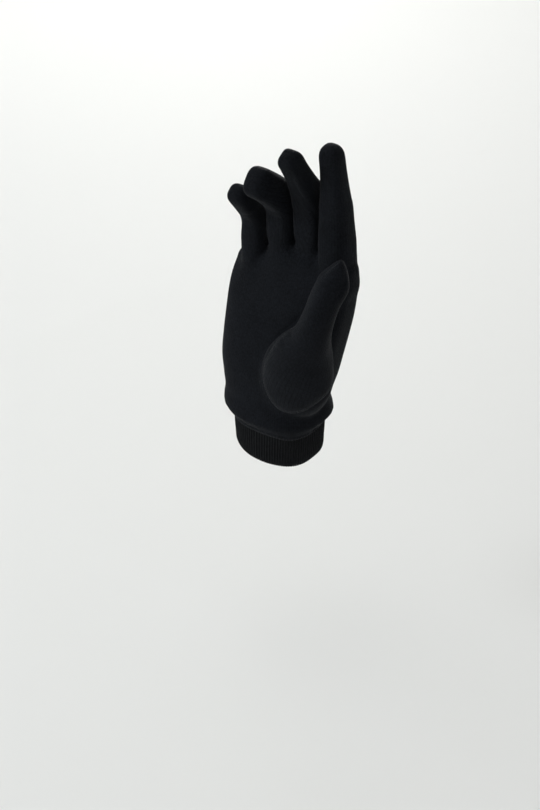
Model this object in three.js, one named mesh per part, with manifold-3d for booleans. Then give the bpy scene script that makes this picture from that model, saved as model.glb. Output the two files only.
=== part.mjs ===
// A dress glove liner for the right hand: a fine black knit that keeps the shape a hand gives it.
// Millimetres. The origin is the centre of the cuff's opening, +Z runs up the hand to the
// fingertips, +X points to the thumb's side, and the palm faces -Y.
import * as THREE from "three";
import { mergeVertices } from "three/addons/utils/BufferGeometryUtils.js";
import Module from "manifold-3d";

// Driving dimensions
const KNIT_WALL = 1.2; // the fine knit, with a little bulk for its loops
const CUFF_WALL = 1.8; // the cuff is the rib folded over on itself
const SEAM_GAP = 0.3; // between two pieces where they are sewn
const CUFF_HEIGHT = 21;
const ROOT_DEPTH = 16; // how far a finger's tube runs down into the hand
const FINGER_SIDES = 16;
const THUMB_SIDES = 20;
const HAND_SIDES = 36;
const ROOT_DEPTH_RATIO = 1.08; // a finger's depth, palm to back, over its width at the root
const TIP_DEPTH_RATIO = 0.9;
const CAP_SHARE = 1.35; // length of a finger's rounded end, over its half width there
const LITTLE_SIDE_DROP = 12; // how much lower the hand ends at the little finger than at the index
const DROP_FROM_X = 6;
const DROP_TO_X = -26;

const KNIT = new THREE.MeshStandardMaterial({ color: 0x141517, roughness: 0.95, metalness: 0 });
const RIB = new THREE.MeshStandardMaterial({ color: 0x121314, roughness: 0.97, metalness: 0 });

// The cuff's sections, as in HAND_ROWS, from its hem to the seam with the hand
const CUFF_ROWS = [
  { z: 0, x: 0, y: 0, half: 26.8, palm: 22.6, back: 22.6, square: 2.05, drop: 0 },
  { z: 1.5, x: 0, y: 0, half: 27.7, palm: 23.4, back: 23.4, square: 2.05, drop: 0 },
  { z: 11, x: 0, y: 0, half: 28.0, palm: 23.7, back: 23.7, square: 2.05, drop: 0 },
  { z: CUFF_HEIGHT, x: 0.4, y: 0, half: 28.4, palm: 24.0, back: 24.0, square: 2.1, drop: 0 },
];

// The hand's sections: centre, half width, depth from the centre to the palm and to the back, and
// the exponent of the outline, where 2 is an ellipse and more is squarer. The slack cloth bags over
// the cuff's seam near z 30. drop is the share of LITTLE_SIDE_DROP that the section takes.
const HAND_ROWS = [
  { z: CUFF_HEIGHT + SEAM_GAP, x: 0.4, y: 0, half: 28.4, palm: 24.0, back: 24.0, square: 2.1, drop: 0 },
  { z: 24, x: 0.2, y: 0, half: 30.4, palm: 26.5, back: 26.3, square: 2.1, drop: 0 },
  { z: 29, x: -0.8, y: 0, half: 33.8, palm: 28.5, back: 28.0, square: 2.2, drop: 0 },
  { z: 34, x: -2.0, y: 0.2, half: 34.2, palm: 27.5, back: 27.0, square: 2.3, drop: 0 },
  { z: 40, x: -2.8, y: 0.5, half: 33.4, palm: 25.5, back: 25.0, square: 2.4, drop: 0 },
  { z: 48, x: -2.8, y: 1.0, half: 34.8, palm: 24.0, back: 23.0, square: 2.6, drop: 0 },
  { z: 60, x: -2.2, y: 1.8, half: 37.2, palm: 22.8, back: 21.3, square: 2.9, drop: 0 },
  { z: 75, x: -0.8, y: 3.0, half: 39.2, palm: 20.5, back: 19.5, square: 3.1, drop: 0 },
  { z: 90, x: 1.0, y: 4.4, half: 40.8, palm: 18.6, back: 18.0, square: 3.2, drop: 0.1 },
  { z: 105, x: 3.0, y: 5.8, half: 41.6, palm: 16.5, back: 17.0, square: 3.2, drop: 0.3 },
  { z: 119, x: 4.6, y: 6.8, half: 41.6, palm: 14.5, back: 15.8, square: 3.1, drop: 0.6 },
  { z: 130, x: 5.6, y: 7.4, half: 41.2, palm: 12.4, back: 13.4, square: 2.9, drop: 0.85 },
  { z: 137, x: 6.2, y: 7.6, half: 40.2, palm: 10.0, back: 10.4, square: 2.7, drop: 1 },
  { z: 141.5, x: 6.4, y: 7.7, half: 37.5, palm: 6.0, back: 6.0, square: 2.5, drop: 1 },
];

// Each finger's root, its length above the root, its half widths at the root, the middle joint
// and the end joint, and how far it leans to the thumb and bends to the palm at each joint.
const FINGERS = [
  {
    name: "index_finger", x: 36.0, y: 6.6, z: 142.5, length: 75,
    root: 10.3, middle: 9.1, end: 7.0, lean: -0.3, bendRoot: 3.5, bendMiddle: 7, bendEnd: 9,
  },
  {
    name: "middle_finger", x: 16.3, y: 9.0, z: 142, length: 77,
    root: 9.0, middle: 9.0, end: 7.9, lean: 1.5, bendRoot: 5, bendMiddle: 34, bendEnd: 36,
  },
  {
    name: "ring_finger", x: -2.8, y: 7.4, z: 140, length: 70,
    root: 9.2, middle: 8.7, end: 8.2, lean: 2.4, bendRoot: 4, bendMiddle: 48, bendEnd: 51,
  },
  {
    name: "little_finger", x: -22.5, y: 3.8, z: 131, length: 54.5,
    root: 8.4, middle: 7.5, end: 6.7, lean: 2.5, bendRoot: 1, bendMiddle: 41, bendEnd: 44,
  },
];

// The thumb's sections from inside the palm's heel, over the ball of the thumb, to its tip
const THUMB_ROWS = [
  { x: 12, y: -5, z: 40, width: 12, depth: 10 },
  { x: 17.5, y: -10, z: 52, width: 20, depth: 15.5 },
  { x: 24.5, y: -15, z: 70, width: 22.5, depth: 16.5 },
  { x: 33.5, y: -20, z: 88, width: 17.5, depth: 14 },
  { x: 41, y: -23, z: 104, width: 12.5, depth: 12 },
  { x: 46, y: -23.5, z: 118, width: 11, depth: 11 },
  { x: 50.5, y: -22, z: 132, width: 11, depth: 10.5 },
  { x: 54, y: -19, z: 145, width: 9.5, depth: 8.5 },
  { x: 55.5, y: -17, z: 153, width: 6.5, depth: 5.5 },
  { x: 56.2, y: -16, z: 157, width: 2.5, depth: 2 },
];

const wasm = await Module();
wasm.setup();

// A three.js geometry as a solid that can be joined and cut
function solidOf(geometry) {
  const merged = mergeVertices(geometry, 1e-4);
  return new wasm.Manifold(
    new wasm.Mesh({
      numProp: 3,
      vertProperties: merged.attributes.position.array,
      triVerts: new Uint32Array(merged.index.array),
    }),
  );
}

// A solid as a three.js geometry with flat-shaded faces
function geometryOf(solid) {
  const mesh = solid.getMesh();
  const positions = new Float32Array(mesh.numVert * 3);
  for (let i = 0; i < mesh.numVert; i++) {
    const from = i * mesh.numProp;
    positions.set(mesh.vertProperties.subarray(from, from + 3), i * 3);
  }
  const geometry = new THREE.BufferGeometry();
  geometry.setAttribute("position", new THREE.BufferAttribute(positions, 3));
  geometry.setIndex(new THREE.BufferAttribute(mesh.triVerts, 1));
  geometry.computeVertexNormals();
  return geometry;
}

// A closed skin through rings of points, each ring counter-clockwise as seen from the last one
function loft(rings) {
  const sides = rings[0].length;
  const middle = (ring) => ring.reduce((sum, p) => sum.add(p), new THREE.Vector3()).divideScalar(sides);
  const points = [...rings.flat(), middle(rings[0]), middle(rings.at(-1))];
  const [first, last] = [points.length - 2, points.length - 1];
  const top = (rings.length - 1) * sides;
  const faces = [];
  for (let j = 0; j < sides; j++) {
    const next = (j + 1) % sides;
    for (let i = 0; i < top; i += sides) {
      faces.push(i + j, i + next, i + sides + next);
      faces.push(i + j, i + sides + next, i + sides + j);
    }
    faces.push(first, next, j);
    faces.push(last, top + j, top + next);
  }
  const geometry = new THREE.BufferGeometry().setFromPoints(points);
  geometry.setIndex(faces);
  return solidOf(geometry);
}

// One ring of the cuff or hand, drawn in by inset
function handRing(row, inset) {
  const power = 2 / row.square;
  const ring = [];
  for (let k = 0; k < HAND_SIDES; k++) {
    const angle = (k / HAND_SIDES) * 2 * Math.PI;
    const across = Math.sign(Math.cos(angle)) * Math.abs(Math.cos(angle)) ** power;
    const through = Math.sign(Math.sin(angle)) * Math.abs(Math.sin(angle)) ** power;
    const x = row.x + across * (row.half - inset);
    const y = row.y + through * ((through < 0 ? row.palm : row.back) - inset);
    const slope = THREE.MathUtils.smoothstep(DROP_FROM_X - x, 0, DROP_FROM_X - DROP_TO_X);
    ring.push(new THREE.Vector3(x, y, row.z - row.drop * LITTLE_SIDE_DROP * slope));
  }
  return ring;
}

// A body through rows, drawn in by inset, its first and last rings moved down by the given amounts
function handBody(rows, inset, lowerFirst, lowerLast) {
  const last = rows.length - 1;
  return loft(
    rows.map((row, i) => {
      const lower = (i === 0 ? lowerFirst : 0) + (i === last ? lowerLast : 0);
      return handRing({ ...row, z: row.z - lower }, inset);
    }),
  );
}

// The angle by which a finger has bent towards the palm at a distance from its root
function bendAt(finger, distance) {
  const share = distance / finger.length;
  const atMiddle = THREE.MathUtils.smoothstep(share, 0.28, 0.58);
  const atEnd = THREE.MathUtils.smoothstep(share, 0.62, 0.82);
  return THREE.MathUtils.degToRad(
    finger.bendRoot +
      (finger.bendMiddle - finger.bendRoot) * atMiddle +
      (finger.bendEnd - finger.bendMiddle) * atEnd,
  );
}

function fingerHalfWidth(finger, distance, length) {
  const joint = finger.length * 0.45;
  const endJoint = finger.length * 0.75;
  const { lerp, clamp } = THREE.MathUtils;
  const towardsMiddle = clamp(distance / joint, 0, 1);
  const towardsEnd = clamp((distance - joint) / (endJoint - joint), 0, 1);
  const body = lerp(lerp(finger.root, finger.middle, towardsMiddle), finger.end, towardsEnd);
  const cap = finger.end * CAP_SHARE;
  const intoCap = clamp((distance - (length - cap)) / cap, 0, 1);
  return body * Math.sqrt(Math.max(0.02, 1 - intoCap ** 2.4));
}

// A finger's tube between two distances from its root, drawn in by inset
function fingerTube(finger, from, to, inset) {
  const lean = THREE.MathUtils.degToRad(finger.lean);
  const cap = finger.end * CAP_SHARE;
  const stations = [from];
  const steps = Math.max(1, Math.round((to - cap - from) / 7));
  for (let i = 1; i <= steps; i++) stations.push(from + ((to - cap - from) * i) / steps);
  for (const share of [0.3, 0.55, 0.75, 0.9, 1]) stations.push(to - cap * (1 - share));
  return loft(stations.map((s) => fingerRing(finger, s, lean, inset, finger.length - inset)));
}

// A short length of a finger's tube inside and just past the hand, without the rounded end
function fingerRoot(finger, to, inset) {
  const lean = THREE.MathUtils.degToRad(finger.lean);
  const stations = [-ROOT_DEPTH, -ROOT_DEPTH / 2, to];
  return loft(stations.map((s) => fingerRing(finger, s, lean, inset, finger.length)));
}

// One ring of a finger, its centre found by walking along the bending centreline
function fingerRing(finger, distance, lean, inset, length) {
  const centre = new THREE.Vector3(finger.x, finger.y, finger.z);
  const heading = (bend) =>
    new THREE.Vector3(
      Math.sin(lean),
      -Math.cos(lean) * Math.sin(bend),
      Math.cos(lean) * Math.cos(bend),
    );
  const steps = Math.max(1, Math.ceil(Math.abs(distance)));
  for (let i = 0; i < steps; i++) {
    const halfway = (distance * (i + 0.5)) / steps;
    centre.addScaledVector(heading(bendAt(finger, Math.max(0, halfway))), distance / steps);
  }
  const along = heading(bendAt(finger, Math.max(0, distance)));
  const half = fingerHalfWidth(finger, Math.max(0, distance), length);
  const share = THREE.MathUtils.clamp(distance / finger.length, 0, 1);
  const depth = half * THREE.MathUtils.lerp(ROOT_DEPTH_RATIO, TIP_DEPTH_RATIO, share);
  return ellipseRing(centre, along, Math.max(0.4, half - inset), Math.max(0.4, depth - inset), FINGER_SIDES);
}

// An elliptical ring square to a direction, its width as near to the X axis as that allows
function ellipseRing(centre, along, width, depth, sides) {
  const across = new THREE.Vector3(1, 0, 0).addScaledVector(along, -along.x).normalize();
  const through = new THREE.Vector3().crossVectors(along, across);
  const ring = [];
  for (let k = 0; k < sides; k++) {
    const angle = (k / sides) * 2 * Math.PI;
    ring.push(
      centre
        .clone()
        .addScaledVector(across, width * Math.cos(angle))
        .addScaledVector(through, depth * Math.sin(angle)),
    );
  }
  return ring;
}

function thumbBody(inset) {
  const centres = THUMB_ROWS.map((row) => new THREE.Vector3(row.x, row.y, row.z));
  const last = centres.length - 1;
  return loft(
    THUMB_ROWS.map((row, i) => {
      const along = centres[Math.min(i + 1, last)].clone().sub(centres[Math.max(i - 1, 0)]).normalize();
      const centre = centres[i].clone();
      if (i === last) centre.addScaledVector(along, -inset);
      const width = Math.max(0.5, row.width - inset);
      const depth = Math.max(0.4, row.depth - inset);
      return ellipseRing(centre, along, width, depth, THUMB_SIDES);
    }),
  );
}

const joined = (solids) => solids.reduce((sum, next) => sum.add(next));

function cuff() {
  const outside = handBody(CUFF_ROWS, 0, 0, 0);
  return outside.subtract(handBody(CUFF_ROWS, CUFF_WALL, 1, -1));
}

// The palm and back with a short root for each finger, open at the wrist, fingers and thumb
function hand() {
  const outside = joined([
    handBody(HAND_ROWS, 0, 0, 0),
    ...FINGERS.map((finger) => fingerRoot(finger, 0, 0)),
  ]);
  const hollow = joined([
    handBody(HAND_ROWS, KNIT_WALL, 1, KNIT_WALL),
    ...FINGERS.map((finger) => fingerRoot(finger, 4, KNIT_WALL)),
  ]);
  return outside.subtract(hollow).subtract(thumbBody(0));
}

// The space that the thumb and fingers keep clear of: the hand, and the seam's gap around it
const aroundHand = () => handBody(HAND_ROWS, -SEAM_GAP, SEAM_GAP, -SEAM_GAP);

function thumb() {
  return thumbBody(0).subtract(thumbBody(KNIT_WALL)).subtract(aroundHand());
}

function finger(row) {
  const outside = fingerTube(row, SEAM_GAP, row.length, 0);
  const hollow = fingerTube(row, -1, row.length - KNIT_WALL, KNIT_WALL);
  return outside.subtract(hollow).subtract(aroundHand());
}

function piece(name, solid, material) {
  const mesh = new THREE.Mesh(geometryOf(solid), material);
  mesh.name = name;
  return mesh;
}

const glove = new THREE.Group();
glove.add(piece("cuff", cuff(), RIB));
glove.add(piece("hand", hand(), KNIT));
glove.add(piece("thumb", thumb(), KNIT));
for (const row of FINGERS) glove.add(piece(row.name, finger(row), KNIT));

export default glove;
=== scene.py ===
import math

import bpy
import numpy as np
from mathutils import Matrix, Vector


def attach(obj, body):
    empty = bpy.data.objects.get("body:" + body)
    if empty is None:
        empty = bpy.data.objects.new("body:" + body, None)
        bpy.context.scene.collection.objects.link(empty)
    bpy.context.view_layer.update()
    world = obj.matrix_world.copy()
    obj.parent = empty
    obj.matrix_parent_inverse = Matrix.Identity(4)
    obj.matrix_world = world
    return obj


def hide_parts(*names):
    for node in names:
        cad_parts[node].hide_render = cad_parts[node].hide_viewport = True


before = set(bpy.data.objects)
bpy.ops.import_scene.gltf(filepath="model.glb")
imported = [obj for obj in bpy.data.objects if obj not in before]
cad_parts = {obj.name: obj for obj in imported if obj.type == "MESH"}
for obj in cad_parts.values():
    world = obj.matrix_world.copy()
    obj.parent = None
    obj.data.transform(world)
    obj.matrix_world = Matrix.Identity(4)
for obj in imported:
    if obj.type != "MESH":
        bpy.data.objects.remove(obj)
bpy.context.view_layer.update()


# The knit hand
# The palm, the back, the four fingers and the thumb of a fine black jersey, 1.2 mm thick with its
# loops. The fingers grow out of the hand in one knit. The thumb is set in with an oval seam, and
# the slack cloth bags a little over the cuff. It is shaped by the relaxed hand that fills it.
MM = 0.001  # the tables are in millimetres, as a glove maker measures, and the meshes in metres
KNIT_WALL = 1.2
GRID_STEP = 1.12  # the size of the skin's faces
KNIT_EASE = 0.3  # how far the knit stands off the form that its tables give
SEAM_LEVEL = 20.4  # where the hand is sewn to the cuff
WEB_BLEND = 5.0  # how softly the fingers run into the hand
HAND_END_BLEND = 4.0  # how softly the hand's own form ends between the fingers
FINGER_GROOVE = 1.3  # the dark gap that stays between two fingers side by side
LITTLE_SIDE_DROP = 12.0  # how much lower the webs lie on the little finger's side
DROP_FROM_X = 6.0
DROP_TO_X = -26.0
ROOT_DEPTH = 16.0  # how far inside the hand each finger's tube begins

# Sections of the hand, from the seam at the cuff to the webs between the fingers. The last column is
# the share of the little finger's side's drop that counts at that height
HAND_COLUMNS = ("z", "x", "y", "half", "palm", "back", "square", "drop")
HAND_ROWS = np.array(
    (
        (20.4, 0.0, 0.0, 28.6, 24.4, 24.2, 2.1, 0.00),
        (24.0, -0.5, 0.0, 31.5, 26.5, 26.3, 2.1, 0.00),
        (29.0, -1.6, 0.0, 34.8, 28.3, 28.0, 2.2, 0.00),
        (34.0, -2.0, 0.2, 34.9, 27.5, 27.0, 2.3, 0.00),
        (40.0, -2.7, 0.5, 33.8, 25.5, 25.0, 2.4, 0.00),
        (48.0, -2.8, 1.0, 35.2, 24.0, 23.0, 2.6, 0.00),
        (60.0, -2.0, 1.8, 37.8, 22.8, 21.3, 2.9, 0.00),
        (75.0, -0.5, 3.0, 39.6, 20.5, 19.5, 3.1, 0.00),
        (90.0, 1.2, 4.4, 41.1, 18.6, 18.0, 3.2, 0.10),
        (105.0, 2.6, 5.8, 42.4, 16.5, 17.0, 3.2, 0.30),
        (119.0, 3.8, 6.8, 42.5, 14.5, 15.8, 3.1, 0.60),
        (130.0, 5.1, 7.4, 41.9, 12.4, 13.4, 2.9, 0.85),
        (137.0, 5.7, 7.6, 41.0, 10.0, 10.4, 2.7, 1.00),
        (141.5, 6.0, 7.7, 37.9, 6.0, 6.0, 2.5, 1.00),
    )
)
WEB_LEVEL = HAND_ROWS[-1, 0]

# Each finger's root, length, half widths, half depths over half widths at root and tip, lean to the
# thumb and bends to the palm in degrees, and how square it is
FINGER_COLUMNS = (
    ("x", "y", "z", "length", "root", "middle", "end", "root_depth", "tip_depth")
    + ("lean", "bend_root", "bend_middle", "bend_end", "square")
)
FINGERS = {
    "index": (36.1, 6.6, 142.5, 74.0, 10.4, 8.5, 7.0, 1.08, 0.9, -0.7, 3.5, 7.0, 9.0, 2.7),
    "middle": (16.3, 9.0, 142.0, 77.2, 8.8, 8.4, 6.3, 1.02, 1.0, 1.35, 6.5, 32.5, 34.0, 4.0),
    "ring": (-2.7, 7.4, 137.9, 70.6, 9.0, 8.6, 7.6, 1.08, 1.25, 1.5, 4.0, 49.0, 54.2, 3.4),
    "little": (-21.9, 3.8, 130.4, 55.2, 8.3, 7.2, 6.8, 1.08, 0.9, 1.7, 2.0, 41.0, 42.0, 3.0),
}

# Sections of the thumb, from the heel of the palm over its ball to the tip, each turned in degrees
THUMB_COLUMNS = ("x", "y", "z", "width", "depth", "turn", "square")
THUMB_ROWS = np.array(
    (
        (10.0, -3.5, 36.0, 6.0, 6.0, 0, 2.0),
        (12.0, -5.0, 40.0, 12.0, 10.0, 0, 2.0),
        (17.5, -10.0, 52.0, 20.0, 15.5, 0, 2.0),
        (24.5, -15.0, 70.0, 22.5, 16.5, 0, 2.0),
        (32.4, -20.0, 88.0, 18.0, 14.0, 8, 2.1),
        (40.2, -23.2, 104.0, 11.4, 11.6, 28, 2.3),
        (45.0, -23.8, 118.0, 9.2, 10.4, 36, 2.4),
        (49.1, -22.6, 132.0, 8.8, 9.8, 38, 2.5),
        (53.7, -19.6, 145.0, 9.0, 8.6, 38, 2.6),
        (56.0, -17.0, 156.6, 7.0, 6.4, 38, 2.4),
    )
)


def smoothstep(value, start, end):
    """Runs smoothly from 0 at the start to 1 at the end."""
    share = np.clip((value - start) / (end - start), 0.0, 1.0)
    return share * share * (3.0 - 2.0 * share)


def smooth_curve(value, at, heights):
    """A smooth curve through a table's points, level past its ends."""
    slopes = np.gradient(heights, at)
    value = np.clip(value, at[0], at[-1])
    i = np.clip(np.searchsorted(at, value, side="right") - 1, 0, len(at) - 2)
    width = at[i + 1] - at[i]
    t = (value - at[i]) / width
    rise = heights[i] * (1 + 2 * t) * (1 - t) ** 2 + heights[i + 1] * t * t * (3 - 2 * t)
    return rise + width * t * (1 - t) * (slopes[i] * (1 - t) - slopes[i + 1] * t)


def smooth_min(a, b, blend):
    """The smaller of two fields, with a soft join where they are nearly equal."""
    overlap = np.maximum(blend - np.abs(a - b), 0.0) / blend
    return np.minimum(a, b) - overlap * overlap * blend / 4


def unit(vectors):
    return vectors / np.linalg.norm(vectors, axis=1, keepdims=True)


def hand_value(name, level):
    """One measure of the hand's section at each level."""
    return smooth_curve(level, HAND_ROWS[:, 0], HAND_ROWS[:, HAND_COLUMNS.index(name)])


def hand_level(points):
    """The height of each point along the hand, measured as if all the fingers began level."""
    x, z = points[:, 0], points[:, 2]
    lower = LITTLE_SIDE_DROP * smoothstep(x, DROP_FROM_X, DROP_TO_X)
    level = z
    for _ in range(3):
        level = z + lower * hand_value("drop", level)
    return level


def hand_field(points):
    """Signed distance in millimetres from the palm and back, negative inside."""
    level = hand_level(points)
    across = points[:, 0] - hand_value("x", level)
    through = points[:, 1] - hand_value("y", level)
    half, square = hand_value("half", level), hand_value("square", level)
    depth = np.where(through < 0, hand_value("palm", level), hand_value("back", level))
    size = (np.abs(across) / half) ** square + (np.abs(through) / depth) ** square
    size = np.maximum(size, 1e-9) ** (1 / square)
    section = np.hypot(across, through) * (1 - 1 / size)
    ended = -smooth_min(-section, WEB_LEVEL - level, HAND_END_BLEND)
    return ended + hand_relief(points, level, across, through)


# Where the hand's form shows through the knit: the knuckles, the hollow palm and the slack gathers
KNUCKLES = ((36.0, 121.0), (16.5, 124.0), (-2.5, 119.0), (-21.0, 109.0))
KNUCKLE_RISE = 1.1
KNUCKLE_SPREAD = 8.5
PALM_HOLLOW = (-4.0, 92.0)
PALM_HOLLOW_DEPTH = 1.6
PALM_HOLLOW_SPREAD = 21.0
GATHER_RISE = 0.07
GATHER_WAVES = ((17, 0.4), (26, 2.1), (37, 4.4))  # waves round the wrist, and where each starts
GATHER_ABOVE_SEAM = 4.0
GATHER_FADE = 7.0


def hand_relief(points, level, across, through):
    """Small amounts to add to the hand's distance: negative where the knit stands out."""
    x, z = points[:, 0], points[:, 2]
    relief = np.zeros(len(points))
    for knuckle_x, knuckle_z in KNUCKLES:
        near = np.exp(-((x - knuckle_x) ** 2 + (z - knuckle_z) ** 2) / KNUCKLE_SPREAD**2)
        relief -= KNUCKLE_RISE * near * (through > 0)
    hollow_x, hollow_z = PALM_HOLLOW
    hollow = np.exp(-((x - hollow_x) ** 2 + (z - hollow_z) ** 2) / PALM_HOLLOW_SPREAD**2)
    relief += PALM_HOLLOW_DEPTH * hollow * (through < 0)
    turn = np.arctan2(through, across)
    fade = np.exp(-(((level - SEAM_LEVEL - GATHER_ABOVE_SEAM) / GATHER_FADE) ** 2))
    for waves, start in GATHER_WAVES:
        relief -= GATHER_RISE * fade * np.sin(waves * turn + start)
    return relief


# Over what share of a finger's length each of its joints bends
MIDDLE_JOINT = (0.28, 0.58)
END_JOINT = (0.62, 0.82)
PATH_STEP = 0.5


def finger_path(finger):
    """Points every half millimetre along a finger, and its direction at each of them."""
    lean = math.radians(finger["lean"])
    distance = np.arange(-ROOT_DEPTH, finger["length"] + PATH_STEP / 2, PATH_STEP)
    share = np.clip(distance / finger["length"], 0.0, 1.0)
    at_middle = smoothstep(share, *MIDDLE_JOINT)
    at_end = smoothstep(share, *END_JOINT)
    bend = finger["bend_root"] + (finger["bend_middle"] - finger["bend_root"]) * at_middle
    bend = np.radians(bend + (finger["bend_end"] - finger["bend_middle"]) * at_end)
    along = np.stack(
        (
            np.full(len(bend), math.sin(lean)),
            -math.cos(lean) * np.sin(bend),
            math.cos(lean) * np.cos(bend),
        ),
        axis=1,
    )
    steps = (along[1:] + along[:-1]) / 2 * np.diff(distance)[:, None]
    points = np.vstack((np.zeros(3), np.cumsum(steps, axis=0)))
    at_root = int(np.argmin(np.abs(distance)))
    points += np.array((finger["x"], finger["y"], finger["z"])) - points[at_root]
    return distance, points, along


def cross_directions(along, turn):
    """The width and depth directions of a tube. The width lies near the X axis, or is turned from it."""
    turn = np.broadcast_to(np.radians(turn), len(along))
    aim = np.stack((np.cos(turn), np.sin(turn), np.zeros(len(along))), axis=1)
    across = unit(aim - along * (aim * along).sum(axis=1, keepdims=True))
    return across, np.cross(along, across)


WIDTH_PLACES = (0.0, 0.45, 0.75, 1.0)  # shares of a finger's length at which its widths are given
LAST_WIDTH = 0.96  # the width where the rounded end begins, over the one before it
JOINT_SWELL = 0.3
JOINT_SWELL_LENGTH = 5.0
ROOT_SQUARE = 2.2
ROOT_SQUARE_LENGTH = 12.0
TIP_LENGTH = 1.3  # length of a finger's rounded end, over its half width there
FINGERTIP_SQUARE = (2.6, 2.6)  # how square a tip's end is, across its width and through its depth
THUMB_TIP = 16.0
THUMB_TIP_SQUARE = (1.35, 2.3)
FAR = 60.0  # the distance given to points that a tube doesn't reach
TUBE_REACH = 14.0
CHUNK = 20000  # how many points are measured at a time


def finger_half_width(finger, distance):
    at = np.array(WIDTH_PLACES) * finger["length"]
    widths = np.array((finger["root"], finger["middle"], finger["end"], finger["end"] * LAST_WIDTH))
    width = smooth_curve(distance, at, widths)
    return width + JOINT_SWELL * np.exp(-(((distance - at[1]) / JOINT_SWELL_LENGTH) ** 2))


def nearest_on_line(points, line):
    """Which point of a line is nearest to each point, and the square of the distance to it."""
    nearest = np.empty(len(points), dtype=int)
    squared = np.empty(len(points))
    for start in range(0, len(points), CHUNK):
        part = points[start : start + CHUNK]
        gaps = (part**2).sum(axis=1)[:, None] - 2 * part @ line.T + (line**2).sum(axis=1)[None]
        best = gaps.argmin(axis=1)
        nearest[start : start + CHUNK] = best
        squared[start : start + CHUNK] = np.take_along_axis(gaps, best[:, None], axis=1)[:, 0]
    return nearest, np.maximum(squared, 0.0)


def tube_field(points, path, across, through, along, distance, sizes, tip, tip_square):
    """Signed distance from a bent tube. Its sizes at a distance are its half width, its half depth
    and how square its section is, and tip is the length of its rounded end."""
    field = np.full(len(points), FAR)
    reach = TUBE_REACH + max(part.max() for part in sizes(distance)[:2])
    near = np.all((points > path.min(axis=0) - reach) & (points < path.max(axis=0) + reach), axis=1)
    if not near.any():
        return field, near, None
    inside = points[near]
    nearest, _ = nearest_on_line(inside, path)
    offset = inside - path[nearest]
    beyond = (offset * along[nearest]).sum(axis=1)
    where = distance[nearest] + beyond
    into_tip = np.maximum(where - (distance[-1] - tip), 0.0) + np.maximum(distance[0] - where, 0.0)
    width, depth, square = sizes(np.clip(where, distance[0], distance[-1]))
    a = (offset * across[nearest]).sum(axis=1)
    b = (offset * through[nearest]).sum(axis=1)
    section = ((np.abs(a) / width) ** square + (np.abs(b) / depth) ** square + 1e-9) ** (1 / square)
    to_depth = (b / depth) ** 2 / ((a / width) ** 2 + (b / depth) ** 2 + 1e-9)
    end_square = tip_square[0] + (tip_square[1] - tip_square[0]) * to_depth
    size = (section**end_square + (into_tip / tip) ** end_square) ** (1 / end_square)
    field[near] = np.sqrt(a * a + b * b + into_tip * into_tip) * (1 - 1 / size)
    return field, near, (where, np.arctan2(b / depth, a / width))


def make_tube(distance, path, along, turn, sizes, tip, tip_square):
    """A tube round a path, as tube_field takes it."""
    across, through = cross_directions(along, turn)
    line = dict(path=path, across=across, through=through, along=along, distance=distance)
    return dict(line, sizes=sizes, tip=tip, tip_square=tip_square)


def make_finger_tube(name):
    finger = dict(zip(FINGER_COLUMNS, FINGERS[name]))
    line = finger_path(finger)

    def sizes(at):
        width = finger_half_width(finger, np.maximum(at, 0.0))
        squaring = smoothstep(at, 0.0, ROOT_SQUARE_LENGTH)
        square = ROOT_SQUARE + (finger["square"] - ROOT_SQUARE) * squaring
        share = np.clip(at / finger["length"], 0, 1)
        deep = finger["root_depth"] + (finger["tip_depth"] - finger["root_depth"]) * share
        return width, width * deep, square

    return make_tube(*line, 0.0, sizes, finger["end"] * TIP_LENGTH, FINGERTIP_SQUARE)


def length_along(line):
    """How far each point of a line lies from its start, measured along it."""
    return np.concatenate(((0.0,), np.cumsum(np.linalg.norm(np.diff(line, axis=0), axis=1))))


def make_thumb_tube():
    at = length_along(THUMB_ROWS[:, :3])

    def measure(name, where):
        return smooth_curve(where, at, THUMB_ROWS[:, THUMB_COLUMNS.index(name)])

    distance = np.linspace(0.0, at[-1], int(at[-1]))
    path = np.stack([measure(name, distance) for name in ("x", "y", "z")], axis=1)
    along = unit(np.gradient(path, axis=0))

    def sizes(where):
        return [measure(name, where) for name in ("width", "depth", "square")]

    turn = measure("turn", distance)
    return make_tube(distance, path, along, turn, sizes, THUMB_TIP, THUMB_TIP_SQUARE)


finger_tubes = [make_finger_tube(name) for name in FINGERS]
thumb_tube = make_thumb_tube()


BALL_LEVEL = 55.0
CROTCH_LEVEL = 88.0
BALL_BLEND = 4.6
CROTCH_BLEND = 1.4


def thumb_blend(points):
    """The thumb joins the palm tightly at its crotch and softly over its ball."""
    tighter = smoothstep(points[:, 2], BALL_LEVEL, CROTCH_LEVEL)
    return BALL_BLEND - (BALL_BLEND - CROTCH_BLEND) * tighter


def body_field(points):
    """Signed distance from the hand with its four fingers."""
    fields = [tube_field(points, **tube)[0] for tube in finger_tubes]
    fingers = fields[0]
    for field in fields[1:]:
        groove = (FINGER_GROOVE - np.abs(fingers - field)) / 2
        fingers = np.maximum(np.minimum(fingers, field), groove)
    return smooth_min(hand_field(points), fingers, WEB_BLEND)


def thumb_field(points):
    return tube_field(points, **thumb_tube)[0]


def glove_field(points):
    return smooth_min(body_field(points), thumb_field(points), thumb_blend(points)) - KNIT_EASE


FLATTEST_SLOPE = 0.05
LONGEST_MOVE = 0.8


def field_slope(field, points, step=0.25):
    slope = np.empty_like(points)
    for axis in range(3):
        shift = np.zeros(3)
        shift[axis] = step
        slope[:, axis] = (field(points + shift) - field(points - shift)) / (2 * step)
    return slope


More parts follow.
